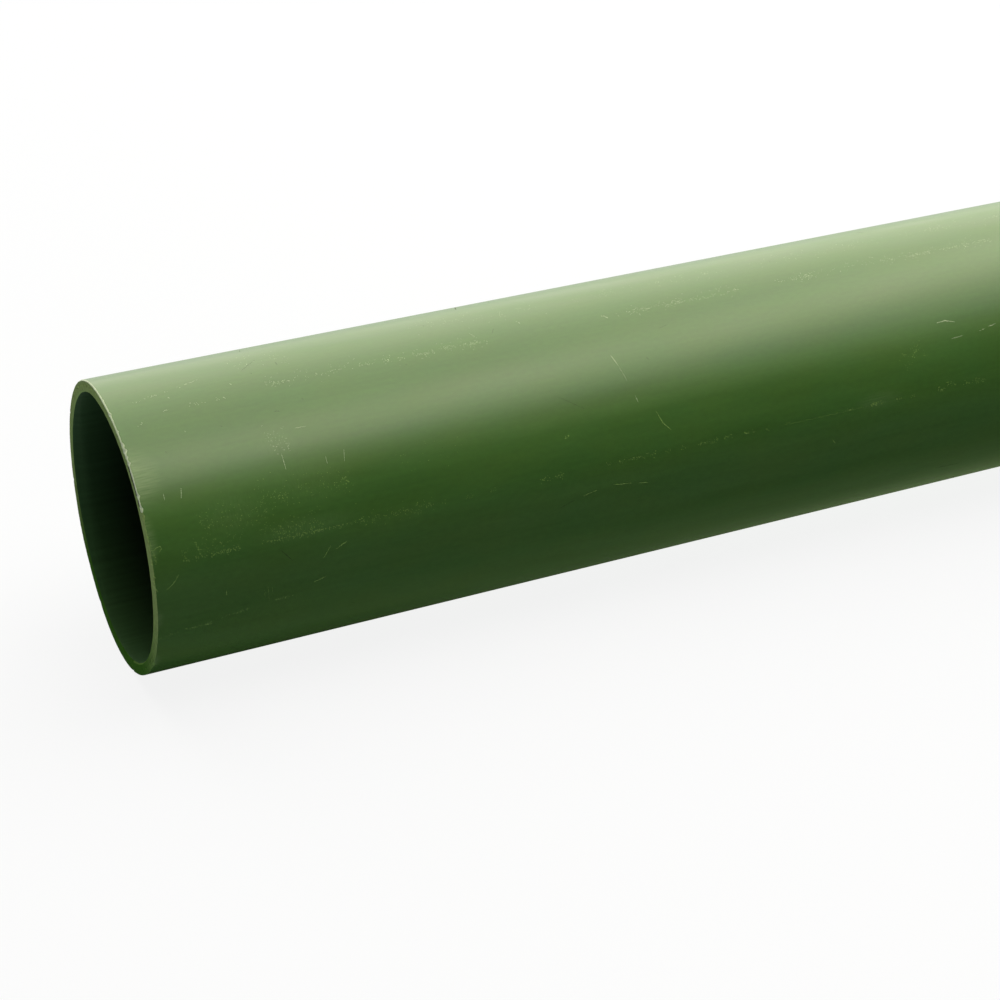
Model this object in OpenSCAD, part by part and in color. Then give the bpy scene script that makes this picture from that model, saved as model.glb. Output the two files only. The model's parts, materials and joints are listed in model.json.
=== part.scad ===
// Rigid PVC electrical conduit: one extruded length of tube, sawn square and deburred at both ends.
// It lies on its side along X, with its lowest line on Z = 0 and the middle of its length over the origin.

/* [Tube] */
// Outside diameter of the tube
outside_d = 114.3; // [60:0.1:220]
// Thickness of the extruded wall
wall = 4.7; // [3:0.1:12]
// Length of the stock, from sawn end to sawn end
stock_length = 3000; // [300:10:6000]

/* [Sawn ends] */
// Width of the bevel filed round the outer edge of each end
outer_bevel = 0.8; // [0.2:0.1:1.4]
// Width of the bevel scraped round each mouth of the bore
mouth_bevel = 0.5; // [0.2:0.1:1.4]

/* [Hidden] */
conduit_green = "#4a6b33";
round_steps = 180;
outside_r = outside_d / 2;
bore_r = outside_r - wall;
half_length = stock_length / 2;

// The wall cut lengthwise: radius to the right, length upwards, with both bevels at each sawn end.
module wall_section() {
    polygon([
        [bore_r, mouth_bevel - half_length],
        [bore_r + mouth_bevel, -half_length],
        [outside_r - outer_bevel, -half_length],
        [outside_r, outer_bevel - half_length],
        [outside_r, half_length - outer_bevel],
        [outside_r - outer_bevel, half_length],
        [bore_r + mouth_bevel, half_length],
        [bore_r, half_length - mouth_bevel],
    ]);
}

// The tube as it is extruded: the wall section turned round its axis and laid down along X.
module conduit() {
    color(conduit_green)
        translate([0, 0, outside_r])
            rotate([0, 90, 0])
                rotate_extrude($fn = round_steps)
                    wall_section();
}

conduit();
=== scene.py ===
import json
import math

import bpy
import numpy as np
from bpy.props import FloatProperty, FloatVectorProperty, IntProperty, PointerProperty
from bpy.types import Operator, Panel, PropertyGroup
from mathutils import Matrix, Vector


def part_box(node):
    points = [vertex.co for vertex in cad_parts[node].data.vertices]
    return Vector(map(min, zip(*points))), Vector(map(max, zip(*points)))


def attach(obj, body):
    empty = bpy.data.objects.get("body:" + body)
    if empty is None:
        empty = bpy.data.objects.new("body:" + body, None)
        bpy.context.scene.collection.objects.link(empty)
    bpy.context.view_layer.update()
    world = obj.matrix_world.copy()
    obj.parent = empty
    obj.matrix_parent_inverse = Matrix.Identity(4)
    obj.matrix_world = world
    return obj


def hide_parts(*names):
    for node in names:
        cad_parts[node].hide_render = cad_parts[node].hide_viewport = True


bl_info = {
    "name": "PVC Conduit",
    "version": (1, 0, 0),
    "blender": (4, 5, 0),
    "location": "3D View > Sidebar > Conduit",
    "description": "Dresses a length of rigid PVC conduit: skin, sawn ends, scuffs and a photo stage",
    "category": "Object",
}

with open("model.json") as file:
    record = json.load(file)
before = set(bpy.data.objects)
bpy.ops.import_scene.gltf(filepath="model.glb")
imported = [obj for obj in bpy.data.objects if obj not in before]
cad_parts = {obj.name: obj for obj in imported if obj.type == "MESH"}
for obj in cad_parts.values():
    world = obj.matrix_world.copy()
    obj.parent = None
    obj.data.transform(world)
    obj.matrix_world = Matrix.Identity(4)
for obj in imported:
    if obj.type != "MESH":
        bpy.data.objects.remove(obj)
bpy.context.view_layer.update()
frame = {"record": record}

MM = 0.001
CAD_NODE = "conduit"
CAD_BODY = "root"
LOW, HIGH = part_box(CAD_NODE)
AXIS_HEIGHT = (LOW.z + HIGH.z) / 2
MOUNTS = {mount["name"]: mount for mount in frame["record"]["mounts"]}
BORE_RADIUS = MOUNTS["cable_bore"]["dims"]["r_mm"] * MM
PVC_IOR = 1.53
DIRT_IOR = 1.45

# Faces of the tube by how they were made, which is also the order of its materials. The filed faces are
# pale partly as a painted highlight, and the slot faces are dark as painted shade.
SKIN, SAWN, FILED_AND_HIGHLIT, SCRAPED, BORE, SLOT_SHADE = range(6)

# Marks on the skin are placed by millimetres from the near end and degrees round from the top line,
# towards the side that faces the camera.
# Scuffed rows, where the tube rubbed along a rack: degrees, spread in mm, and stretches of flecks
# as (from, to, how many).
SCUFF_ROWS = (
    (15.0, 0.6, (
        (62, 69, 22), (80, 90, 14), (96, 101, 8), (107, 110, 12), (113, 115, 6), (119, 128, 28),
        (132, 137, 16), (139, 148, 26), (200, 203, 10), (211, 222, 20), (228, 237, 26), (238, 262, 22),
        (279, 283, 8), (287, 296, 30), (333, 336, 6), (341, 354, 40), (359, 384, 56),
    )),
    (-1.0, 1.2, (
        (162, 164, 8), (170, 177, 8), (194, 198, 6), (206, 211, 8), (232, 234, 8), (253, 256, 8),
        (290, 294, 6), (320, 329, 12), (360, 370, 14),
    )),
    (76.5, 0.5, (
        (12, 34, 80), (44, 66, 90), (66, 82, 44), (84, 103, 26), (107, 109, 8), (113, 115, 4),
        (123, 127, 10), (133, 136, 5), (154, 164, 34), (181, 187, 8), (187, 204, 44), (207, 211, 7),
        (215, 217, 6), (222, 238, 42), (243, 248, 22), (253, 255, 6), (262, 265, 6), (291, 294, 10),
        (302, 305, 30), (305, 309, 8), (314, 317, 12), (321, 324, 6), (334, 338, 22), (346, 358, 32),
    )),
)
# Loose patches of flecks: from and to as (mm, degrees), spread in mm, how many.
FLECK_PATCHES = (
    ((8, 22.5), (20, 17.8), 0.4, 6), ((20, 17.8), (43, 17.6), 0.5, 14), ((7, 11.5), (37, 4), 0.3, 26),
    ((17, 68), (19, 76), 0.8, 16), ((46, 73), (66, 75), 1.4, 60), ((48, 60), (55, 61), 0.9, 18),
    ((75, 59.5), (80, 61), 0.8, 14), ((338, 74.5), (343, 75.5), 0.6, 14),
    ((1, 107.7), (10, 107), 0.3, 10), ((11, 106.5), (22, 106), 0.4, 40),
    ((25, 105), (36, 103), 0.3, 26), ((46, 102), (53, 101.6), 0.2, 22), ((134, -7), (136, -5), 0.4, 5),
    ((145.5, 9), (147, 13), 0.3, 8), ((166, 6), (167, 9), 0.3, 6),
    ((323.5, 62.5), (329, 54.5), 0.6, 20), ((166.5, 62.6), (168.6, 62), 0.3, 12),
)
# Places with a fine, faint grain of nicks, in the same form.
GRAIN_PATCHES = (
    ((20, 63), (46, 65), 3.6, 120), ((44, 60), (80, 61), 3.0, 120), ((42, 73), (66, 72), 2.6, 70),
    ((12, 74), (36, 74), 1.8, 70), ((52, 39), (60, 42), 2.6, 60), ((82, 77), (110, 76), 1.5, 60),
    ((60, 14), (150, 15), 2.0, 110), ((205, 15), (262, 14), 1.8, 80),
    ((285, 15), (384, 14.5), 1.6, 130), ((50, -3), (75, -2), 4.0, 50), ((125, -4), (180, -2), 4.0, 60),
    ((200, -2), (390, -1), 2.6, 160), ((95, 59), (125, 58), 4.0, 22), ((318, 60), (332, 58), 3.0, 40),
    ((0.5, 62), (2.5, 75), 1.5, 60),
)
# Scratches: width in mm, then points as (mm, degrees).
SCRATCHES = (
    (0.6, (195.2, 34.4), (196.4, 38.8)), (0.25, (196.4, 38.8), (198, 46)),
    (0.35, (199.4, 52.4), (200, 55)), (0.4, (206.5, 60), (208.5, 65), (211.5, 68.4)),
    (0.45, (47.4, 10.2), (47.7, 10.8)), (0.5, (42.6, 17), (43.4, 18)),
    (0.4, (23.3, 11.2), (23.8, 11.8)), (0.4, (23.8, 28.8), (24.2, 29.3)),
    (0.35, (20, 17.6), (21.2, 17.9)),
    (0.45, (2.2, 70.2), (3.6, 69.4), (4.8, 69.3), (5.1, 70.2), (4.3, 71.2)),
    (0.25, (65, 88), (68, 83.5)), (0.25, (5, 86), (7, 84.8), (8.4, 83.4), (10, 81)),
    (0.4, (70, 85.3), (74.3, 83.3)), (0.35, (61, 97.6), (65.5, 96.3)), (0.25, (172, 87), (177.5, 86)),
    (0.3, (185, 85.3), (192.5, 86.3)), (0.25, (196, 87), (200, 87.8)),
    (0.6, (339.5, 49.2), (343.5, 49), (347.5, 50.3)), (0.25, (344, 57), (349.5, 56.6)),
    (0.3, (9.8, 51), (9.8, 53.5)), (0.35, (16.6, 50.5), (15.8, 54)), (0.3, (56, 45.5), (56.2, 52)),
    (0.3, (72, 50), (72, 53)), (0.35, (79.5, 49), (78.6, 53.5)), (0.4, (64, 37), (68, 37.2)),
    (0.3, (27, 92), (27.2, 94.5)), (0.06, (262, 76.7), (300, 76.7)), (0.15, (41.6, 96), (41.9, 99)),
    (0.15, (43, 94.6), (43.5, 101.2)), (0.15, (44.6, 95.4), (44.9, 98.4)),
    (0.3, (284, 88), (285, 89.5)), (0.3, (358, 56.2), (361, 55.6)), (0.3, (363, 55.2), (366.5, 54.6)),
)
# Dark scratches and dents with dirt in them, in the same form.
DIRTY_SCRATCHES = (
    (0.4, (61.3, -19.7), (60, -15.4)), (0.8, (153, -23.5), (150.6, -16.6)),
    (0.3, (54.4, 3.4), (61.9, -2.9)), (0.4, (68.2, 2), (68.3, 4.5)), (0.4, (57, 6.5), (57.3, 7)),
    (0.3, (131.5, -4.5), (131, -2.5)), (0.2, (167.5, 46), (177, 53)), (0.25, (162, 90), (168, 88)),
    (0.3, (117, 56), (117.3, 56.4)), (0.3, (209.2, 38), (210, 39.5)), (0.4, (57, 6.2), (57.3, 6.9)),
    (0.35, (37.4, 29.7), (37.8, 30.2)), (0.35, (14.8, 35.6), (15.3, 36.4)),
    (0.35, (70.6, 25), (70.9, 25.8)), (0.3, (114.6, 19), (115, 19.6)),
    (0.35, (58.5, 28.4), (61, 28.8)), (0.3, (155.5, 9), (154, 11.5)), (0.3, (284.5, -1.5), (285.2, 0)),
    (0.3, (220, 26.5), (224, 25.5)), (0.35, (49, 81), (53, 86)), (0.35, (77, 114), (79, 115.5)),
    (0.3, (336, -14.5), (338, -12)), (0.4, (341, 119.2), (353, 119.8)),
)
# Chips in the outer edge of the near end: degrees, half width in mm, extra bevel in mm.
CHIPS = (
    (5, 0.5, 0.25), (14, 0.7, 0.4), (23.2, 0.4, 0.25), (29.5, 1.0, 0.5), (32, 0.8, 0.9),
    (34.7, 0.5, 0.4), (37.2, 0.6, 0.6), (50, 0.6, 0.5), (54.8, 0.7, 0.5), (57.5, 1.0, 0.5),
    (126.5, 1.5, 0.6), (-64, 0.8, 0.5), (-98, 0.6, 0.7), (-151, 1.2, 0.6), (163, 0.9, 0.5),
)
# Lips of burr left standing on the near end: degrees, half width in mm, height in mm.
LIPS = ((126.5, 2.2, 0.25), (-30, 9, 0.1), (10, 14, 0.08), (-120, 12, 0.15))
# Bits of burr folded back over the near edge, as scratches are given.
BURRS = (
    (0.45, (0.6, 73.4), (1.2, 74.2)), (0.4, (0.6, 75), (1.1, 75.6)), (0.5, (0.7, 79.6), (1.3, 80.4)),
    (0.45, (0.5, 81.6), (0.9, 82.6)), (0.4, (0.4, 83.6), (1.7, 86)), (0.35, (0.5, 13.6), (0.9, 14.4)),
    (0.5, (0.4, 54.3), (0.9, 55.2)),
)
# Slots between the near face and its filed edge, dark as painted shade in the recess: from and to in
# degrees.
SHADED_SLOTS = ((37.5, 49.5), (51, 53.5))
# Stretch along the top of the edge that the file has whitened, its paleness partly a painted highlight: its
# middle, and its reach to either side, in degrees.
FILED_AND_HIGHLIT_STRETCH = (3, 53)
# Stretch of the mouth that the blade has missed: from and to in degrees, on past the bottom.
MISSED = (160, 260)
# Places on the skin rubbed hazy, along the tube or round it: the middle as mm along and mm round from the
# top line, the reach along and round in mm, and how strong.
RUBBED_ALONG = (
    ((0, 43), (13, 15), 0.42), ((0, 66), (5, 13), 0.34), ((0, 98), (4, 6), 0.22),
    ((0, 124), (4, 8), 0.25), ((306, 75), (14, 5), 0.1),
)
RUBBED_ROUND = (
    ((33, 63), (18, 10), 0.07), ((55, 41), (10, 7), 0.08), ((64, 58), (22, 12), 0.05),
    ((60, 74), (26, 6), 0.07),
)
# Rows of scuffs that run on at random to the far end: degrees, and where they start in mm.
ROWS_RUN_ON = ((15.0, 390), (-1.0, 390), (76.5, 365), (-68.0, 10), (-112.0, 10), (128.0, 400))
# The stretch of skin whose marks are given above: as far as so many mm, and from and to in degrees.
MARKED_LENGTH = 400
MARKED_ROUND = (-30, 140)
# Loose scratches tried at random over the rest of the skin.
LOOSE_SCRATCHES = 140
# Flecks are torn up pale between these degrees, and the skin is only bruised elsewhere.
PALE_ROUND = (-90, 58)
# Length and width in mm of a usual fleck, and of a nick of the grain.
FLECK_SIZE = (0.58, 0.28)
GRAIN_SIZE = (0.6, 0.2)
# A fleck's sides, and how far in mm its edge and its foot are sunk in the skin.
FLECK_SIDES = 6
EDGE_SUNK, FOOT_SUNK = 0.02, 0.08
# A stroke is a row of flecks so many mm apart, which stand up by so many mm.
STROKE_STEP = 0.4
SCRATCH_LIFT, BURR_LIFT, DIRT_LIFT, LOOSE_LIFT = 0.06, 0.2, 0.03, 0.02
# Dirt spreads so many times wider than the scratch that holds it.
DIRT_SPREAD = 1.3
NEAR_SEED, FAR_SEED, SCUFF_SEED = 4, 9, 21

# Soft boxes of the arch over the conduit: degrees back from overhead, and how many degrees they span.
ARCH = {"front": (-28, 14), "top": (0, 42), "back": (42, 42), "low": (76, 26)}
ARCH_MIDDLE = 0.325
ARCH_LENGTH = 4.95
# The box turned across the conduit: its middle, where it faces, width, length and turn in degrees.
TURNED_MIDDLE = (0.1, 0.425, 1.65)
TURNED_AIM = (0.1, 0.425, 0)
TURNED_WIDTH = 0.61
TURNED_LENGTH = 4.0
TURNED_ANGLE = 45
# Cards that only gloss shows, glowing though they are no lamps: painted reflections in the conduit's lower
# half, the black one a painted dark reflection. They are profiles of (y, z) in metres that run along the
# conduit. Each has its levels of light by the near end and further along, and its colour.
REFLECTION_GLOWS = {
    "near_reflection_glow": (((-0.005, 0.0005), (-0.042, 0.0005)), 0.0, 0.14, "warm"),
    "grey_reflection_glow": (((-0.042, 0.0005), (-0.07, 0.0005)), 0.06, 0.08, "warm"),
    "black_reflection_glow": (((-0.07, 0.0005), (-0.9, 0.002), (-1.05, 0.21)), 0.0, 0.0, "warm"),
    "rosy_reflection_glow": (((-1.05, 0.21), (-1.4, 0.7), (-1.5, 1.2)), 0.1, 0.1, "rosy"),
    "upper_reflection_glow": (((-1.5, 1.2), (-1.15, 1.5)), 0.85, 1.0, "warm"),
}
CARD_ENDS = (-3.0, 3.0)
# Stretch from the near end over which the light of the cards and the table changes, and how late it rises.
NEAR_STRETCH = 0.34
NEAR_CURVE = 1.5
# The table is shaded within the first distance from its middle and plain white beyond the second.
SHADED_WITHIN, PLAIN_BEYOND = 0.5, 1.3
# How much of its own white the table keeps where it is shaded.
OWN_WHITE = 0.87
# The table's brighter strip beneath the conduit: how far it lies in front of the axis, half its width, and
# half its width with the soft edges.
STRIP_FORWARD, STRIP_HALF, STRIP_EDGE = 12 * MM, 26 * MM, 38 * MM


def linear(hex_colour):
    """An sRGB hex colour as linear red, green and blue."""
    parts = [int(hex_colour[i : i + 2], 16) / 255 for i in (1, 3, 5)]
    return tuple(c / 12.92 if c <= 0.04045 else ((c + 0.055) / 1.055) ** 2.4 for c in parts)


class ConduitSizes(PropertyGroup):
    """Sizes of the tube and of its sawn ends."""

    length: FloatProperty(
        name="Length", description="From sawn end to sawn end", default=HIGH.x - LOW.x, unit="LENGTH"
    )
    outer_radius: FloatProperty(
        name="Outer radius", description="Half the outside diameter", unit="LENGTH",
        default=(HIGH.z - LOW.z) / 2,
    )
    bore_radius: FloatProperty(
        name="Bore radius", description="Half the inside diameter", default=BORE_RADIUS, unit="LENGTH"
    )
    outer_bevel: FloatProperty(
        name="Outer bevel", description="Width of the filed outer edge", default=0.42 * MM, unit="LENGTH"
    )
    mouth_bevel: FloatProperty(
        name="Mouth bevel", description="Width of the scraped edge of the bore", unit="LENGTH",
        default=0.5 * MM,
    )
    round_steps: IntProperty(name="Round steps", description="Faces round the tube", default=360, min=48)
    rim_split: IntProperty(
        name="Rim split", description="Faces at the rim to each face round the tube", default=4, min=1
    )


class ConduitFinish(PropertyGroup):
    """Colours and gloss of the PVC."""

    body_colour: FloatVectorProperty(
        name="Body", description="Dark green pigment of the PVC", subtype="COLOR",
        default=linear("#365d22"),
    )
    sawn_colour: FloatVectorProperty(
        name="Sawn ends", description="PVC whitened by the saw", subtype="COLOR",
        default=linear("#7b915d"),
    )
    # Partly the file's whitening and partly a painted highlight along the top of the edge.
    filed_and_highlight_colour: FloatVectorProperty(
        name="Filed edge", description="PVC whitened by the file", subtype="COLOR",
        default=linear("#b4c3ac"),
    )
    scraped_colour: FloatVectorProperty(
        name="Scraped mouth", description="PVC whitened by the blade", subtype="COLOR",
        default=linear("#7e9a5f"),
    )
    # The bore's green is darker than the body's as painted shade inside the tube.
    bore_shaded_colour: FloatVectorProperty(
        name="Bore", description="Darker regrind on the inside", subtype="COLOR",
        default=linear("#2d4a2c"),
    )
    scuff_colour: FloatVectorProperty(
        name="Scuffs", description="PVC whitened by rubbing", subtype="COLOR",
        default=linear("#aab89e"),
    )
    bruise_colour: FloatVectorProperty(
        name="Bruises", description="PVC only dented, so less whitened", subtype="COLOR",
        default=linear("#76984c"),
    )
    # Also the painted shade in the slots of the sawn ends.
    dirt_and_slot_shade_colour: FloatVectorProperty(
        name="Dirt", description="Dirt in the deeper scratches", subtype="COLOR",
        default=linear("#1b2513"),
    )
    roughness: FloatProperty(
        name="Roughness", description="Roughness of the extruded skin", subtype="FACTOR",
        default=0.34, min=0, max=1,
    )


class StageSettings(PropertyGroup):
    """Camera, lamps and floor."""

    lens: FloatProperty(name="Lens", description="Focal length", default=84.0, unit="CAMERA")
    elevation: FloatProperty(
        name="Elevation", description="How far the camera looks down", unit="ROTATION",
        default=math.radians(27.7),
    )
    heading: FloatProperty(
        name="Heading", description="Turn of the conduit away from the picture plane", unit="ROTATION",
        default=math.radians(24.47),
    )
    shift: FloatProperty(name="Shift", description="Lens shift up the picture", default=-0.1)
    end_in_view: FloatVectorProperty(
        name="End in view", description="Middle of the near end from the camera: right, up and forward",
        default=(-147.4 * MM, -48.4 * MM, 884.2 * MM), subtype="XYZ", unit="LENGTH",
    )
    lamp_colour: FloatVectorProperty(
        name="Lamps", description="Colour of the soft boxes", subtype="COLOR",
        default=linear("#fdfad7"),
    )
    paper_colour: FloatVectorProperty(
        name="Paper", description="Colour of the sheet on the table", subtype="COLOR",
        default=linear("#d0d3f0"),
    )
    # The warm and rosy cards glow and only gloss shows them: these are the colours of painted reflections.
    warm_colour: FloatVectorProperty(
        name="Warm cards", description="Colour of the low cards and the upper one", subtype="COLOR",
        default=linear("#ffffcb"),
    )
    rosy_colour: FloatVectorProperty(
        name="Rosy card", description="Colour of the card between them", subtype="COLOR",
        default=linear("#ffcbf3"),
    )
    lamp_distance: FloatProperty(
        name="Lamp distance", description="From the conduit to the boxes", default=1.7, unit="LENGTH"
    )
    front_radiance: FloatProperty(
        name="Front box", description="Brightness of the box in front", default=1.4
    )
    top_radiance: FloatProperty(
        name="Top box", description="Brightness of the box overhead", default=2.1
    )
    back_radiance: FloatProperty(
        name="Back box", description="Brightness of the box behind", default=2.45
    )
    low_radiance: FloatProperty(
        name="Low box", description="Brightness of the low box behind", default=1.45
    )
    turned_radiance: FloatProperty(
        name="Turned box", description="Brightness of the box turned across", default=2.5
    )
    table_glow: FloatProperty(
        name="Table glow", description="Light that the table gives from below", default=0.72
    )
    strip_glow: FloatProperty(
        name="Strip glow", description="What the table gives more beneath the conduit, away from its end",
        default=4.0,
    )
    sky: FloatProperty(name="Sky", description="Brightness of the room's soft light", default=0.05)
    floor_size: FloatProperty(name="Floor", description="Side of the floor", default=60.0, unit="LENGTH")


def node(tree, kind, sockets=None, **fields):
    """Adds a node with its fields; sockets gives each input a value, or the node or output to link."""
    made = tree.nodes.new(kind)
    for name, value in fields.items():
        setattr(made, name, value)
    for name, value in (sockets or {}).items():
        if isinstance(value, bpy.types.Node):
            value = value.outputs[0]
        if isinstance(value, bpy.types.NodeSocket):
            tree.links.new(value, made.inputs[name])
        else:
            made.inputs[name].default_value = value
    return made


def blank_material(name):
    """A new material with an empty node tree."""
    material = bpy.data.materials.new(name)
    material.use_nodes = True
    material.node_tree.nodes.clear()
    return material, material.node_tree


def even_material(name, colour, roughness, ior):
    """A material for edges and marks too small to show a pattern of their own."""
    material, tree = blank_material(name)
    made = node(tree, "ShaderNodeBsdfPrincipled", {
        "Base Color": (*colour, 1), "Roughness": roughness, "IOR": ior,
    })
    node(tree, "ShaderNodeOutputMaterial", {"Surface": made})
    return material


def extruded_pvc(finish):
    """Rigid PVC from the die: satin dark green, with faint lines along it and rubbed, hazy places."""
    material, tree = blank_material("extruded_pvc")
    place = node(tree, "ShaderNodeUVMap", uv_map="unrolled")
    place = node(tree, "ShaderNodeVectorMath", {0: place, "Scale": 1 / MM}, operation="SCALE")

    def blotches(size_along, size_round, detail=2.0):
        """Unevenness of a size in mm along the tube and round it."""
        share = (1 / size_along, 1 / size_round, 1)
        spaced = node(tree, "ShaderNodeVectorMath", {0: place, 1: share}, operation="MULTIPLY")
        return node(tree, "ShaderNodeTexNoise", {"Vector": spaced, "Scale": 1.0, "Detail": detail})

    def rubbed(places, strokes):
        """Patches that fade out to their edges, broken up into strokes."""
        patches = None
        for middle, reach, strength in places:
            share = (1 / reach[0], 1 / reach[1], 0)
            offset = node(tree, "ShaderNodeVectorMath", {0: place, 1: (*middle, 0)}, operation="SUBTRACT")
            offset = node(tree, "ShaderNodeVectorMath", {0: offset, 1: share}, operation="MULTIPLY")
            far = node(tree, "ShaderNodeVectorMath", {0: offset}, operation="LENGTH").outputs["Value"]
            patch = node(tree, "ShaderNodeMapRange", {
                "Value": far, "From Min": 0.2, "From Max": 1.0, "To Min": strength, "To Max": 0.0,
            }, interpolation_type="SMOOTHSTEP")
            if patches is not None:
                patch = node(tree, "ShaderNodeMath", {0: patches, 1: patch}, operation="MAXIMUM")
            patches = patch
        broken = node(tree, "ShaderNodeMapRange", {"Value": strokes, "From Min": 0.26, "From Max": 0.76})
        return node(tree, "ShaderNodeMath", {0: patches, 1: broken}, operation="MULTIPLY")

    die_lines = blotches(500, 1.6)
    mottle = blotches(60, 9, 3.0)
    grain = blotches(3.0, 1.6, 3.0)
    haze = node(tree, "ShaderNodeMath", {
        0: rubbed(RUBBED_ALONG, blotches(7.0, 0.6, 4.0)), 1: rubbed(RUBBED_ROUND, blotches(0.6, 3.0, 3.0)),
    }, operation="MAXIMUM")

    shade = node(tree, "ShaderNodeMath", {0: die_lines, 1: 0.5, 2: mottle}, operation="MULTIPLY_ADD")
    shade = node(tree, "ShaderNodeMath", {0: grain, 1: 0.9, 2: shade}, operation="MULTIPLY_ADD")
    shade = node(tree, "ShaderNodeMapRange", {
        "Value": shade, "From Min": 0.8, "From Max": 1.6, "To Min": 0.88, "To Max": 1.12,
    })
    red, green, blue = finish.body_colour
    hue = node(tree, "ShaderNodeMapRange", {"Value": blotches(30, 14), "From Min": 0.35, "From Max": 0.65})
    body = node(tree, "ShaderNodeMix", {
        "Factor": hue, 6: (1.06 * red, green, 0.92 * blue, 1), 7: (0.97 * red, green, 1.03 * blue, 1),
    }, data_type="RGBA")
    body = node(tree, "ShaderNodeVectorMath", {0: body.outputs[2], "Scale": shade}, operation="SCALE")
    hazed = [(scuff + bruise) / 2 for scuff, bruise in zip(finish.scuff_colour, finish.bruise_colour)]
    colour = node(tree, "ShaderNodeMix", {"Factor": haze, 6: body, 7: (*hazed, 1)}, data_type="RGBA")
    rough = node(tree, "ShaderNodeMapRange", {
        "Value": mottle, "From Min": 0.3, "From Max": 0.7,
        "To Min": finish.roughness - 0.03, "To Max": finish.roughness + 0.03,
    })
    rough = node(tree, "ShaderNodeMath", {0: haze, 1: 0.2, 2: rough}, operation="MULTIPLY_ADD")
    height = node(tree, "ShaderNodeMath", {0: die_lines, 1: 0.5, 2: grain}, operation="MULTIPLY_ADD")
    bump = node(tree, "ShaderNodeBump", {"Height": height, "Strength": 0.5, "Distance": 0.02 * MM})
    pvc = node(tree, "ShaderNodeBsdfPrincipled", {
        "Base Color": colour.outputs[2], "Roughness": rough, "IOR": PVC_IOR, "Normal": bump,
    })
    node(tree, "ShaderNodeOutputMaterial", {"Surface": pvc})
    return material


def whitening_and_low_shade(tree, place, least):
    """How far a tool has whitened an end: fully high up, least low down on the far side, as painted shade.
    """
    greenest = (0, 4 * MM, 3 * MM)
    flat = node(tree, "ShaderNodeVectorMath", {0: place, 1: (0, 1, 1)}, operation="MULTIPLY")
    away = node(tree, "ShaderNodeVectorMath", {0: flat, 1: greenest}, operation="DISTANCE")
    return node(tree, "ShaderNodeMapRange", {
        "Value": away.outputs["Value"], "From Min": 34 * MM, "From Max": 84 * MM, "To Min": least,
    }, interpolation_type="SMOOTHSTEP")


def sawn_pvc(finish):
    """Sawn PVC: paler and duller than the skin, greener low down as painted shade, with the blade's marks
    across.
    """
    material, tree = blank_material("sawn_pvc")
    place = node(tree, "ShaderNodeTexCoord").outputs["Object"]
    turned = node(tree, "ShaderNodeMapping", {
        "Vector": place, "Rotation": (math.radians(25), 0, 0), "Scale": (20 * MM, 9 * MM, 0.7 * MM),
    }, vector_type="TEXTURE")
    marks = node(tree, "ShaderNodeTexNoise", {"Vector": turned, "Scale": 1.0, "Detail": 3.0})
    shade = node(tree, "ShaderNodeMapRange", {
        "Value": marks, "From Min": 0.3, "From Max": 0.7, "To Min": 0.85, "To Max": 1.15,
    })
    # Greener and darker low down: painted shade.
    colour = node(tree, "ShaderNodeMix", {
        "Factor": whitening_and_low_shade(tree, place, 0.0), 6: (*finish.body_colour, 1), 7: (*finish.sawn_colour, 1),
    }, data_type="RGBA")
    colour = node(tree, "ShaderNodeVectorMath", {0: colour.outputs[2], "Scale": shade}, operation="SCALE")
    bump = node(tree, "ShaderNodeBump", {"Height": marks, "Strength": 0.6, "Distance": 0.06 * MM})
    pvc = node(tree, "ShaderNodeBsdfPrincipled", {
        "Base Color": colour, "Roughness": 0.7, "IOR": PVC_IOR, "Specular IOR Level": 0.0, "Normal": bump,
    })
    node(tree, "ShaderNodeOutputMaterial", {"Surface": pvc})
    return material


def filed_and_highlit_pvc(finish):
    """The sharp edge taken off with a file: a thin line of PVC whitened by the strokes, palest of all as
    painted highlight.
    """
    return even_material("filed_and_highlit_pvc", finish.filed_and_highlight_colour, 0.45, PVC_IOR)


def scraped_pvc(finish):
    """The burr of the mouth scraped off with a blade: a thin, smooth line, paler than the sawn face."""
    material, tree = blank_material("scraped_pvc")
    place = node(tree, "ShaderNodeTexCoord").outputs["Object"]
    # Greener and darker low down: painted shade.
    colour = node(tree, "ShaderNodeMix", {
        "Factor": whitening_and_low_shade(tree, place, 0.35), 6: (*finish.body_colour, 1), 7: (*finish.scraped_colour, 1),
    }, data_type="RGBA")
    pvc = node(tree, "ShaderNodeBsdfPrincipled", {
        "Base Color": colour.outputs[2], "Roughness": 0.5, "IOR": PVC_IOR, "Specular IOR Level": 0.0,
    })
    node(tree, "ShaderNodeOutputMaterial", {"Surface": pvc})
    return material


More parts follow.
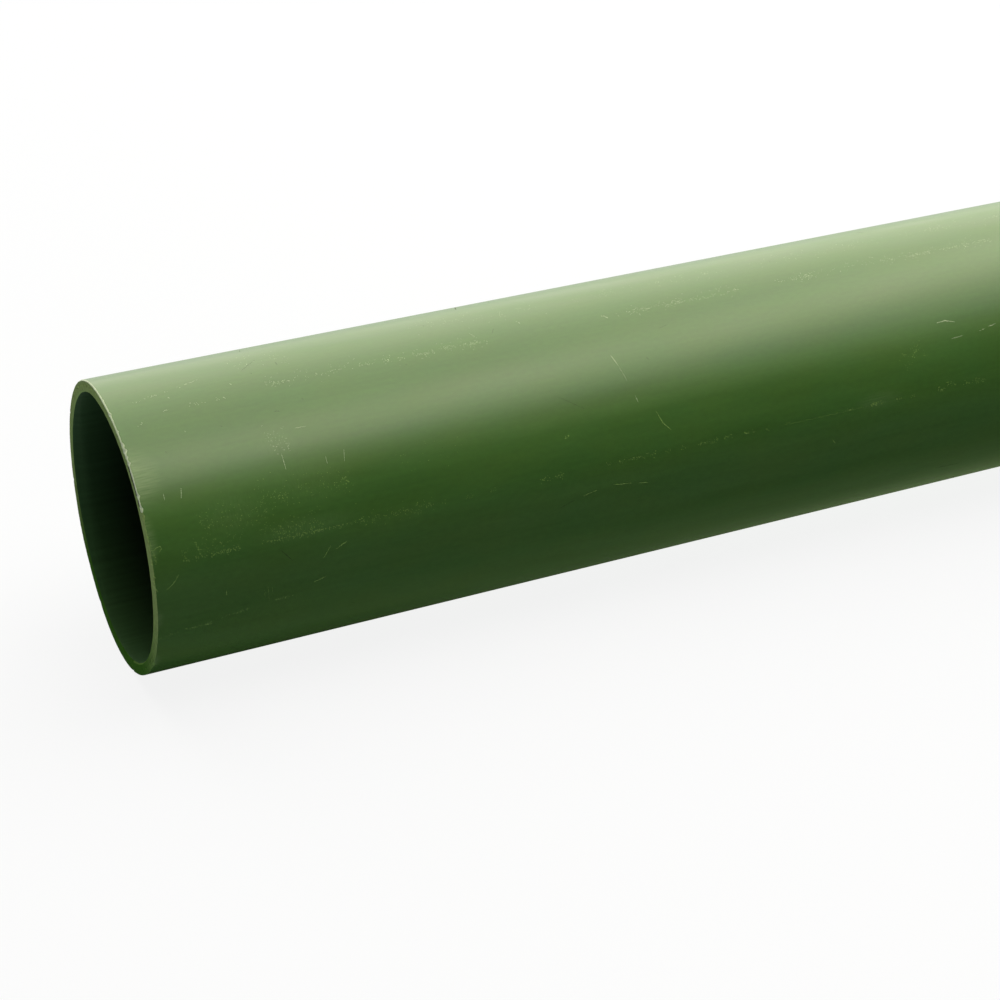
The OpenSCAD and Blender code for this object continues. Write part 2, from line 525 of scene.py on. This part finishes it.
def bore_pvc(finish):
    """The inside, drawn over the mandrel: darker green and darker further in, both painted shade, with long
    faint lines.
    """
    material, tree = blank_material("bore_pvc")
    place = node(tree, "ShaderNodeUVMap", uv_map="unrolled")
    share = (1 / (400 * MM), 1 / (3 * MM), 1)
    spaced = node(tree, "ShaderNodeVectorMath", {0: place, 1: share}, operation="MULTIPLY")
    lines = node(tree, "ShaderNodeTexNoise", {"Vector": spaced, "Scale": 1.0, "Detail": 2.0})
    shade = node(tree, "ShaderNodeMapRange", {
        "Value": lines, "From Min": 0.3, "From Max": 0.7, "To Min": 0.85, "To Max": 1.1,
    })
    from_near = node(tree, "ShaderNodeSeparateXYZ", {0: place}).outputs["X"]
    from_far = node(tree, "ShaderNodeMath", {0: HIGH.x - LOW.x, 1: from_near}, operation="SUBTRACT")
    depth = node(tree, "ShaderNodeMath", {0: from_near, 1: from_far}, operation="MINIMUM")
    # Painted shade: darker the further in from either end.
    painted_depth_shade = node(tree, "ShaderNodeMapRange", {
        "Value": depth, "From Min": 1 * MM, "From Max": 22 * MM, "To Min": 1.0, "To Max": 0.25,
    })
    shade = node(tree, "ShaderNodeMath", {0: shade, 1: painted_depth_shade}, operation="MULTIPLY")
    green = tuple(finish.bore_shaded_colour)
    colour = node(tree, "ShaderNodeVectorMath", {0: green, "Scale": shade}, operation="SCALE")
    pvc = node(tree, "ShaderNodeBsdfPrincipled", {
        "Base Color": colour, "Roughness": 0.6, "IOR": PVC_IOR, "Specular IOR Level": 0.04,
    })
    node(tree, "ShaderNodeOutputMaterial", {"Surface": pvc})
    return material


def rubbed_pvc(finish):
    """Flecks and curls of PVC that rubbing has torn up: stretched white, paler than the body, and dull."""
    return even_material("rubbed_pvc", finish.scuff_colour, 0.55, PVC_IOR)


def bruised_pvc(finish):
    """Dents and short strokes where a knock has stretched the PVC untorn: a lighter, yellower green."""
    return even_material("bruised_pvc", finish.bruise_colour, 0.5, PVC_IOR)


def dirt_and_slot_shade(finish):
    """Workshop dirt in a scratch: dark and dull; in the slots of the sawn ends it is painted shade."""
    return even_material("dirt_and_slot_shade", finish.dirt_and_slot_shade_colour, 0.7, DIRT_IOR)


def link(name, data):
    """A new object in the scene."""
    made = bpy.data.objects.new(name, data)
    bpy.context.scene.collection.objects.link(made)
    return made


def wobble(angle, rng, waves):
    """Unevenness of about -1 to 1 round the tube, as a sum of waves that meet up at the seam."""
    total = sum(
        np.sin(wave * angle + rng.uniform(0, math.tau)) * rng.uniform(0.4, 1) for wave in waves
    )
    return total / math.sqrt(len(waves))


def near_to(angle, degrees, half_width, radius):
    """A bell of height 1 round the tube at an angle, with a half width along the arc."""
    apart = (angle - math.radians(degrees) + math.pi) % math.tau - math.pi
    return np.exp(-((apart * radius / half_width) ** 2))


class Shell:
    """Points and faces of the tube, built up ring by ring."""

    def __init__(self):
        self.points = []
        self.faces = []
        self.zones = []
        self.count = 0

    def ring(self, along, radius, steps):
        """Adds a ring of points, whose place along the tube and radius may change round it."""
        angle = np.linspace(-math.pi, math.pi, steps, endpoint=False)
        along, radius = np.broadcast_to(along, steps), np.broadcast_to(radius, steps)
        y, z = -radius * np.sin(angle), AXIS_HEIGHT + radius * np.cos(angle)
        self.points.append(np.stack([along, y, z], axis=1))
        first = self.count
        self.count += steps
        return first, steps

    def join(self, one, two, zone):
        """Faces from ring to ring, of which one may have a few times as many points as the other."""
        flip = one[1] < two[1]
        (fine, fine_steps), (coarse, coarse_steps) = (two, one) if flip else (one, two)
        split = fine_steps // coarse_steps
        for step in range(coarse_steps):
            a, b = coarse + step, coarse + (step + 1) % coarse_steps
            row = [fine + (step * split + i) % fine_steps for i in range(split + 1)]
            if split == 1:
                made = [(row[0], row[1], b, a)]
            else:
                middle = split // 2
                made = [(row[i], row[i + 1], a) for i in range(middle)]
                made += [(row[middle], b, a)]
                made += [(row[i], row[i + 1], b) for i in range(middle, split)]
            self.faces += [tuple(reversed(face)) for face in made] if flip else made
            self.zones += [int(zone[step]) if np.ndim(zone) else zone] * len(made)


def rim_rings(sizes, angle, rng, chips, lips, slots, filed):
    """Rings of a sawn end from bore to skin: depth in from the end, radius, zone of the faces after.

    The saw has cut deeper on both sides than at the top and the bottom. The outer edge is filed least low
    down, and the mouth is scraped widest at the back.
    """
    outer, bore = sizes.outer_radius, sizes.bore_radius
    thinnest, widest_scrape, slot_depth = 0.06 * MM, 0.45 * MM, 0.4 * MM
    low_side = near_to(angle, 178, 48 * MM, outer)
    back_side = near_to(angle, -95, 46 * MM, outer)
    face = MM * (0.63 - 0.43 * near_to(angle, 5, 36 * MM, outer) - 0.6 * low_side)
    bevel = sizes.outer_bevel * (1 + 0.14 * wobble(angle, rng, range(5, 60, 6)) - 0.85 * low_side)
    bevel += 0.05 * MM * wobble(angle, rng, range(90, 400, 23))
    for degrees, half_width, extra in chips:
        bevel = bevel + extra * MM * near_to(angle, degrees, half_width * MM, outer)
    bevel = np.maximum(bevel, thinnest)
    uneven = 0.12 * wobble(angle, rng, range(4, 70, 7))
    mouth = sizes.mouth_bevel * (0.6 + uneven + 0.5 * low_side + 3.8 * back_side)
    mouth = np.maximum(mouth, thinnest)
    lip = np.zeros_like(angle)
    for degrees, half_width, height in lips:
        lip = np.maximum(lip, height * MM * near_to(angle, degrees, half_width * MM, outer))
    lip = lip * (1 + 0.25 * wobble(angle, rng, range(60, 300, 17)))
    lip = np.clip(lip, 0, face)
    in_slot = np.zeros(len(angle), bool)
    for start, end in slots:
        in_slot |= (angle > math.radians(start)) & (angle < math.radians(end))
    rings = [(depth * MM, bore, BORE) for depth in (9, 7)]
    scraped = np.minimum(mouth, widest_scrape)
    for t in (0, 0.3, 0.6, 0.85):
        rings.append((face + scraped + 2 * mouth * (1 - t), bore + (mouth - scraped) * t, BORE))
    turn = np.degrees(angle) % 360
    cut = np.where((turn > MISSED[0]) & (turn < MISSED[1]), SAWN, SCRAPED)
    rings.append((face + scraped, bore + mouth - scraped, cut))
    rings.append((face + 0.4 * scraped, bore + mouth - 0.35 * scraped, cut))
    inner, rise = bore + mouth, outer - bevel
    rings.append((face, inner, SAWN))
    for t in (0.15, 0.4, 0.65):
        rough = 0.02 * MM * wobble(angle, rng, range(20, 200, 13))
        rings.append((face + rough, inner + (rise - inner) * t, SAWN))
    # Faces in a slot take the dark colour as painted shade.
    slotted = np.where(in_slot, SLOT_SHADE, SAWN)
    rings.append((face, rise - 1.4 * MM, slotted))
    rings.append((face + slot_depth * in_slot, rise - 1.3 * MM, slotted))
    rings.append((face + slot_depth * in_slot, rise - 0.1 * MM, slotted))
    # The filed stretch on top of the edge is pale partly as a painted highlight.
    edge = np.where(np.abs(angle - math.radians(filed[0])) < math.radians(filed[1]), FILED_AND_HIGHLIT, SAWN)
    rings.append((face - lip, rise, edge))
    for t in (0.3, 0.65):
        rings.append((face - lip + (bevel + lip) * t ** 1.4, rise + bevel * t ** 0.7, edge))
    rings.append((face + bevel, outer, SKIN))
    rings += [(face + bevel + 0.4 * MM, outer, SKIN), (4 * MM, outer, SKIN), (7 * MM, outer, SKIN)]
    return rings


def random_marks(rng, count, half_widths, heights):
    """Chips or lips at random round an end: degrees, half width in mm and height in mm."""
    return [
        (rng.uniform(-180, 180), rng.uniform(*half_widths), rng.uniform(*heights)) for _ in range(count)
    ]


def tube_shell(sizes):
    """The closed wall of the tube: fine rings at both sawn ends and coarse ones between."""
    shell = Shell()
    half = sizes.length / 2
    coarse = sizes.round_steps
    fine = coarse * sizes.rim_split
    angle = np.linspace(-math.pi, math.pi, fine, endpoint=False)
    near_rng, far_rng = np.random.default_rng(NEAR_SEED), np.random.default_rng(FAR_SEED)
    far_chips = random_marks(far_rng, 14, (0.4, 1.2), (0.2, 0.7))
    far_lips = random_marks(far_rng, 6, (4, 14), (0.1, 0.3))
    far_slots = [(at, at + far_rng.uniform(2, 9)) for at in far_rng.uniform(-170, 160, 3)]
    near = rim_rings(sizes, angle, near_rng, CHIPS, LIPS, SHADED_SLOTS, FILED_AND_HIGHLIT_STRETCH)
    far = rim_rings(sizes, angle, far_rng, far_chips, far_lips, far_slots, FILED_AND_HIGHLIT_STRETCH)
    plain_from, plain_rings = 12 * MM, 13
    between = np.linspace(plain_from, sizes.length - plain_from, plain_rings) - half
    made = [(shell.ring(depth - half, radius, fine), zone) for depth, radius, zone in near]
    made += [(shell.ring(along, sizes.outer_radius, coarse), SKIN) for along in between]
    # Run the other way, a ring's faces are those before it, so each takes the zone of the ring after it.
    far_zones = [zone for _, _, zone in far[-2::-1]] + [BORE]
    for (depth, radius, _), zone in zip(far[::-1], far_zones):
        made.append((shell.ring(half - depth, radius, fine), zone))
    made += [(shell.ring(along, sizes.bore_radius, coarse), BORE) for along in between[::-1]]
    for (one, zone), (two, _) in zip(made, made[1:] + made[:1]):
        shell.join(one, two, zone)
    return shell


def unroll(mesh, radius):
    """A UV map in metres: along the tube from the near end, and round it from the top line."""
    vertex = np.empty(len(mesh.loops), np.int32)
    mesh.loops.foreach_get("vertex_index", vertex)
    points = np.empty(len(mesh.vertices) * 3)
    mesh.vertices.foreach_get("co", points)
    points = points.reshape(-1, 3)[vertex]
    first = np.empty(len(mesh.polygons), np.int32)
    mesh.polygons.foreach_get("loop_start", first)
    sides = np.empty(len(mesh.polygons), np.int32)
    mesh.polygons.foreach_get("loop_total", sides)
    angle = np.arctan2(-points[:, 1], points[:, 2] - AXIS_HEIGHT)
    start = np.repeat(angle[first], sides)
    angle += math.tau * np.round((start - angle) / math.tau)
    places = np.stack([points[:, 0] - LOW.x, angle * radius], axis=1)
    mesh.uv_layers.new(name="unrolled").uv.foreach_set("vector", places.ravel())


class CONDUIT_OT_tube(Operator):
    """Build the tube with its sawn, deburred ends"""

    bl_idname = "conduit.tube"
    bl_label = "Conduit tube"

    def execute(self, context):
        sizes = context.scene.conduit_sizes
        finish = context.scene.conduit_finish
        shell = tube_shell(sizes)
        mesh = bpy.data.meshes.new("conduit_tube")
        mesh.from_pydata(np.concatenate(shell.points).tolist(), [], shell.faces)
        mesh.polygons.foreach_set("material_index", shell.zones)
        mesh.shade_smooth()
        unroll(mesh, sizes.outer_radius)
        for made_by in (extruded_pvc, sawn_pvc, filed_and_highlit_pvc, scraped_pvc, bore_pvc, dirt_and_slot_shade):
            mesh.materials.append(made_by(finish))
        tube = link("conduit_tube", mesh)
        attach(tube, CAD_BODY)
        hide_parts(CAD_NODE)
        return {"FINISHED"}


class Flecks:
    """Flecks half sunk in the skin, kept as rows of mm along, degrees, length, width, lean and lift."""

    def __init__(self, rng):
        self.rng = rng
        self.rows = []

    def scatter(self, start, end, spread, count, size=FLECK_SIZE):
        """Flecks at random about a line."""
        share = self.rng.random(count)
        along = start[0] + (end[0] - start[0]) * share
        degrees = start[1] + (end[1] - start[1]) * share + self.rng.normal(0, spread, count)
        length = size[0] * self.rng.uniform(0.5, 1.7, count)
        width = size[1] * self.rng.uniform(0.6, 1.4, count)
        lean, lift = self.rng.uniform(0, math.pi, count), self.rng.uniform(0.02, 0.05, count)
        self.rows.append(np.stack([along, degrees, length, width, lean, lift], axis=1))

    def stroke(self, width, *points, lift=SCRATCH_LIFT):
        """Flecks end to end along a line, thinner towards its ends."""
        steps = [math.hypot(b[0] - a[0], b[1] - a[1]) for a, b in zip(points, points[1:])]
        reach = np.concatenate([[0], np.cumsum(steps)])
        at = np.arange(STROKE_STEP / 2, max(reach[-1], 1.02 * STROKE_STEP), STROKE_STEP)
        along = np.interp(at, reach, [p[0] for p in points])
        degrees = np.interp(at, reach, [p[1] for p in points]) + self.rng.normal(0, 0.06, len(at))
        leg = np.clip(np.searchsorted(reach, at) - 1, 0, len(steps) - 1)
        legs = [math.atan2(b[1] - a[1], b[0] - a[0]) for a, b in zip(points, points[1:])]
        lean = [legs[i] for i in leg]
        thin = 0.55 + 0.45 * np.sin(math.pi * at / at[-1]) if len(at) > 2 else np.ones(len(at))
        wide = width * thin * self.rng.uniform(0.5, 1.2, len(at))
        self.rows.append(np.stack([
            along, degrees, self.rng.uniform(0.5, 0.9, len(at)), wide, lean, np.full(len(at), lift),
        ], axis=1))

    def mesh_parts(self, radius, first):
        """Points and faces: each fleck is a six-sided lozenge with a raised middle, shut below the skin."""
        along, degrees, length, width, lean, lift = np.concatenate(self.rows).T
        sides, top, foot = FLECK_SIDES, FLECK_SIDES, FLECK_SIDES + 1
        turn = np.arange(sides) * math.tau / sides
        edge = self.rng.uniform(0.7, 1.15, (len(along), sides))
        u = np.cos(turn) * edge * length[:, None] / 2
        v = np.sin(turn) * edge * width[:, None] / 2
        cos, sin = np.cos(lean)[:, None], np.sin(lean)[:, None]
        u, v = u * cos - v * sin, u * sin + v * cos
        zero = np.zeros((len(along), 1))
        u = along[:, None] + np.hstack([u, zero, zero])
        v = np.radians(degrees)[:, None] + np.hstack([v, zero, zero]) * MM / radius
        rise = np.hstack([np.full((len(along), sides), -EDGE_SUNK), lift[:, None], zero - FOOT_SUNK])
        r = radius + MM * rise
        points = np.stack([LOW.x + u * MM, -r * np.sin(v), AXIS_HEIGHT + r * np.cos(v)], axis=2)
        around = [((i + 1) % sides, i, top) for i in range(sides)]
        around += [(i, (i + 1) % sides, foot) for i in range(sides)]
        starts = [first + (foot + 1) * k for k in range(len(along))]
        faces = [tuple(start + i for i in face) for start in starts for face in around]
        return points.reshape(-1, 3), faces


class CONDUIT_OT_scuffs(Operator):
    """Build the flecks and scratches that handling has left on the skin"""

    bl_idname = "conduit.scuffs"
    bl_label = "Conduit scuffs"

    def execute(self, context):
        sizes = context.scene.conduit_sizes
        finish = context.scene.conduit_finish
        rng = np.random.default_rng(SCUFF_SEED)
        pale, bruised, dirty = Flecks(rng), Flecks(rng), Flecks(rng)

        def kind(degrees):
            """The marks that rubbing leaves so far round the tube."""
            return pale if PALE_ROUND[0] < degrees < PALE_ROUND[1] else bruised

        for degrees, spread, stretches in SCUFF_ROWS:
            for start, end, count in stretches:
                kind(degrees).scatter((start, degrees), (end, degrees), spread, count)
        for start, end, spread, count in FLECK_PATCHES:
            kind(start[1]).scatter(start, end, spread, count)
        for start, end, spread, count in GRAIN_PATCHES:
            kind(start[1]).scatter(start, end, spread, count, GRAIN_SIZE)
        for width, *points in SCRATCHES:
            kind(points[0][1]).stroke(width, *points)
        for width, *points in BURRS:
            kind(points[0][1]).stroke(width, *points, lift=BURR_LIFT)
        for width, *points in DIRTY_SCRATCHES:
            dirty.stroke(DIRT_SPREAD * width, *points, lift=DIRT_LIFT)
        self.rest_of_length(kind, dirty, rng, sizes.length / MM)
        mesh = bpy.data.meshes.new("conduit_scuffs")
        points, faces, zones = [], [], []
        made = ((pale, rubbed_pvc), (bruised, bruised_pvc), (dirty, dirt_and_slot_shade))
        for zone, (marks, made_by) in enumerate(made):
            more_points, more_faces = marks.mesh_parts(sizes.outer_radius, len(points))
            points += more_points.tolist()
            faces += more_faces
            zones += [zone] * len(more_faces)
            mesh.materials.append(made_by(finish))
        mesh.from_pydata(points, [], faces)
        mesh.polygons.foreach_set("material_index", zones)
        scuffs = link("conduit_scuffs", mesh)
        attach(scuffs, CAD_BODY)
        return {"FINISHED"}

    def rest_of_length(self, kind, dirty, rng, length):
        """Rows run on at random to the far end and along the back, with loose scratches between, in mm."""
        for degrees, start in ROWS_RUN_ON:
            at = start
            while at < length - 12:
                reach = rng.uniform(3, 24)
                end = min(at + reach, length - 2)
                count = int(reach * rng.uniform(0.7, 2.2))
                kind(degrees).scatter((at, degrees), (end, degrees), rng.uniform(0.4, 1.2), count)
                at = end + rng.exponential(26)
        for count in range(LOOSE_SCRATCHES):
            along, degrees = rng.uniform(4, length - 16), rng.uniform(-165, 165)
            if along < MARKED_LENGTH and MARKED_ROUND[0] < degrees < MARKED_ROUND[1]:
                continue
            lean, reach = rng.uniform(0, math.pi), rng.uniform(2, 12)
            end = (along + reach * math.cos(lean), degrees + reach * math.sin(lean))
            marks = dirty if count % 3 == 0 else kind(degrees)
            marks.stroke(rng.uniform(0.2, 0.4), (along, degrees), end, lift=LOOSE_LIFT)


def white_when_seen(tree, level):
    """Strength of light: white for what the camera and gloss see, and the level for all other light."""
    path = node(tree, "ShaderNodeLightPath").outputs
    seen = node(tree, "ShaderNodeMath", {0: path["Is Camera Ray"], 1: path["Is Glossy Ray"]})
    seen = node(tree, "ShaderNodeMath", {0: seen, 1: path["Is Transmission Ray"]}, use_clamp=True)
    return node(tree, "ShaderNodeMapRange", {"Value": seen, "To Min": level, "To Max": 1.0})


def from_near_end(tree, along):
    """A share that rises from 0 at the conduit's near end to 1 further along."""
    share = node(tree, "ShaderNodeMapRange", {
        "Value": along, "From Min": LOW.x, "From Max": LOW.x + NEAR_STRETCH,
    })
    return node(tree, "ShaderNodeMath", {0: share, 1: NEAR_CURVE}, operation="POWER")


def light_table(stage):
    """Paper lit from below: white to the camera and in gloss, and dimmed a little by shadows.

    Only an oval round the conduit is shaded. The strip beneath it gives more light, away from the near end.
    """
    material, tree = blank_material("light_table")
    place = node(tree, "ShaderNodeTexCoord").outputs["Object"]
    away = node(tree, "ShaderNodeVectorMath", {0: place, 1: (1 / 3, 1, 0)}, operation="MULTIPLY")
    away = node(tree, "ShaderNodeVectorMath", {0: away}, operation="LENGTH").outputs["Value"]
    plain = node(tree, "ShaderNodeMapRange", {
        "Value": away, "From Min": SHADED_WITHIN, "From Max": PLAIN_BEYOND,
        "To Min": OWN_WHITE, "To Max": 1.0,
    })
    place = node(tree, "ShaderNodeSeparateXYZ", {0: place}).outputs
    off_strip = node(tree, "ShaderNodeMath", {0: place["Y"], 1: STRIP_FORWARD})
    off_strip = node(tree, "ShaderNodeMath", {0: off_strip}, operation="ABSOLUTE")
    strip = node(tree, "ShaderNodeMapRange", {
        "Value": off_strip, "From Min": STRIP_HALF, "From Max": STRIP_EDGE,
        "To Min": stage.strip_glow, "To Max": 0.0,
    })
    glow = node(tree, "ShaderNodeMath", {
        0: from_near_end(tree, place["X"]), 1: strip, 2: stage.table_glow,
    }, operation="MULTIPLY_ADD")
    paper = node(tree, "ShaderNodeBsdfDiffuse", {"Color": (*stage.paper_colour, 1)})
    white = node(tree, "ShaderNodeEmission", {
        "Color": (1, 1, 1, 1), "Strength": white_when_seen(tree, glow),
    })
    mixed = node(tree, "ShaderNodeMixShader", {0: plain, 1: paper, 2: white})
    node(tree, "ShaderNodeOutputMaterial", {"Surface": mixed})
    return material


def card(name, near_level, far_level, colour):
    """Coloured card glowing, no lamp, at one level by the near end and another further along: a painted
    reflection.
    """
    material, tree = blank_material(name)
    place = node(tree, "ShaderNodeTexCoord").outputs["Object"]
    along = node(tree, "ShaderNodeSeparateXYZ", {0: place}).outputs["X"]
    level = node(tree, "ShaderNodeMapRange", {
        "Value": from_near_end(tree, along), "To Min": near_level, "To Max": far_level,
    })
    lit = node(tree, "ShaderNodeEmission", {"Color": (*colour, 1), "Strength": level})
    node(tree, "ShaderNodeOutputMaterial", {"Surface": lit})
    return material


def sheet(name, rows, material):
    """A sheet through rows of points."""
    count = len(rows[0])
    points = [point for row in rows for point in row]
    faces = [
        (r * count + i, r * count + i + 1, (r + 1) * count + i + 1, (r + 1) * count + i)
        for r in range(len(rows) - 1) for i in range(count - 1)
    ]
    mesh = bpy.data.meshes.new(name)
    mesh.from_pydata(points, [], faces)
    mesh.materials.append(material)
    made = link(name, mesh)
    return made


def soft_box(name, middle, aim, width, length, radiance, colour, turn=0.0):
    """A soft box as an area lamp with its long side along the conduit, which the camera doesn't see."""
    lamp = bpy.data.lights.new(name, "AREA")
    lamp.shape = "RECTANGLE"
    lamp.size = length
    lamp.size_y = width
    lamp.color = colour
    lamp.energy = radiance * math.pi * width * length
    made = link(name, lamp)
    out = (Vector(middle) - Vector(aim)).normalized()
    along = (Vector((1, 0, 0)) - out * out.x).normalized()
    axes = Matrix((along, out.cross(along), out)).transposed().to_4x4()
    made.matrix_world = Matrix.Translation(middle) @ axes @ Matrix.Rotation(turn, 4, "Z")
    made.visible_camera = False
    return made


class CONDUIT_OT_stage(Operator):
    """Build the camera, the soft boxes, the floor and the cards"""

    bl_idname = "conduit.stage"
    bl_label = "Photo stage"

    def execute(self, context):
        scene = context.scene
        stage = scene.conduit_stage
        scene.view_settings.view_transform = "Standard"
        self.camera(scene, stage)
        self.lamps(scene, stage)
        half = stage.floor_size / 2
        corners = [[(-half, half, 0), (-half, -half, 0)], [(half, half, 0), (half, -half, 0)]]
        sheet("floor", corners, light_table(stage))
        self.cards(stage)
        return {"FINISHED"}

    def cards(self, stage):
        """Glowing cards in front that only gloss shows: painted reflections, so the conduit's lower half
        keeps its dark green.
        """
        for name, (profile, near_level, far_level, tint) in REFLECTION_GLOWS.items():
            rows = [[(end, y, z) for y, z in profile] for end in CARD_ENDS]
            colour = getattr(stage, tint + "_colour")
            made = sheet(name, rows, card(name, near_level, far_level, colour))
            made.visible_camera = False
            made.visible_diffuse = False
            made.visible_shadow = False
            made.visible_transmission = False

    def camera(self, scene, stage):
        """Sets the camera by where it sees the middle of the near end."""
        sin_e, cos_e = math.sin(stage.elevation), math.cos(stage.elevation)
        sin_h, cos_h = math.sin(stage.heading), math.cos(stage.heading)
        right = Vector((cos_h, -sin_h, 0))
        forward = Vector((sin_h * cos_e, cos_h * cos_e, -sin_e))
        up = right.cross(forward)
        mean_cut = 0.5 * MM
        near_end = Vector((LOW.x + mean_cut, 0, AXIS_HEIGHT))
        view = stage.end_in_view
        data = bpy.data.cameras.new("camera")
        data.lens = stage.lens
        data.sensor_width = 36.0
        data.shift_y = stage.shift
        data.clip_end = 200.0
        made = link("camera", data)
        place = near_end - right * view[0] - up * view[1] - forward * view[2]
        axes = Matrix((right, up, -forward)).transposed().to_4x4()
        made.matrix_world = Matrix.Translation(place) @ axes
        scene.camera = made

    def lamps(self, scene, stage):
        """An arch of boxes over the conduit, one more turned across it, and the room's soft light."""
        colour = stage.lamp_colour
        reach = stage.lamp_distance
        aim = (ARCH_MIDDLE, 0, AXIS_HEIGHT)
        for name, (degrees, spread) in ARCH.items():
            lean = math.radians(degrees)
            middle = (ARCH_MIDDLE, reach * math.sin(lean), AXIS_HEIGHT + reach * math.cos(lean))
            width = 2 * reach * math.tan(math.radians(spread / 2))
            radiance = getattr(stage, name + "_radiance")
            soft_box(name + "_box", middle, aim, width, ARCH_LENGTH, radiance, colour)
        soft_box(
            "turned_box", TURNED_MIDDLE, TURNED_AIM, TURNED_WIDTH, TURNED_LENGTH,
            stage.turned_radiance, colour, math.radians(TURNED_ANGLE),
        )
        world = bpy.data.worlds.new("room")
        world.use_nodes = True
        tree = world.node_tree
        tree.nodes.clear()
        room = node(tree, "ShaderNodeBackground", {
            "Color": (1, 1, 1, 1), "Strength": white_when_seen(tree, stage.sky),
        })
        node(tree, "ShaderNodeOutputWorld", {"Surface": room})
        scene.world = world


class CONDUIT_PT_panel(Panel):
    """Lists the conduit's operators and their settings"""

    bl_idname = "CONDUIT_PT_panel"
    bl_label = "Conduit"
    bl_space_type = "VIEW_3D"
    bl_region_type = "UI"
    bl_category = "Conduit"

    def draw(self, context):
        scene = context.scene
        for operator in (CONDUIT_OT_tube, CONDUIT_OT_scuffs, CONDUIT_OT_stage):
            self.layout.operator(operator.bl_idname)
        for settings in (scene.conduit_sizes, scene.conduit_finish, scene.conduit_stage):
            box = self.layout.box()
            for name in type(settings).__annotations__:
                box.prop(settings, name)


CLASSES = (
    ConduitSizes, ConduitFinish, StageSettings,
    CONDUIT_OT_tube, CONDUIT_OT_scuffs, CONDUIT_OT_stage, CONDUIT_PT_panel,
)


def register():
    """Adds the classes and the scene's settings."""
    for cls in CLASSES:
        bpy.utils.register_class(cls)
    bpy.types.Scene.conduit_sizes = PointerProperty(type=ConduitSizes)
    bpy.types.Scene.conduit_finish = PointerProperty(type=ConduitFinish)
    bpy.types.Scene.conduit_stage = PointerProperty(type=StageSettings)


def unregister():
    """Takes the settings and the classes out again."""
    for name in ("conduit_sizes", "conduit_finish", "conduit_stage"):
        delattr(bpy.types.Scene, name)
    for cls in reversed(CLASSES):
        bpy.utils.unregister_class(cls)


def main():
    """Builds the pieces and the stage."""
    register()
    bpy.ops.conduit.tube()
    bpy.ops.conduit.scuffs()
    bpy.ops.conduit.stage()


if __name__ == "__main__":
    main()
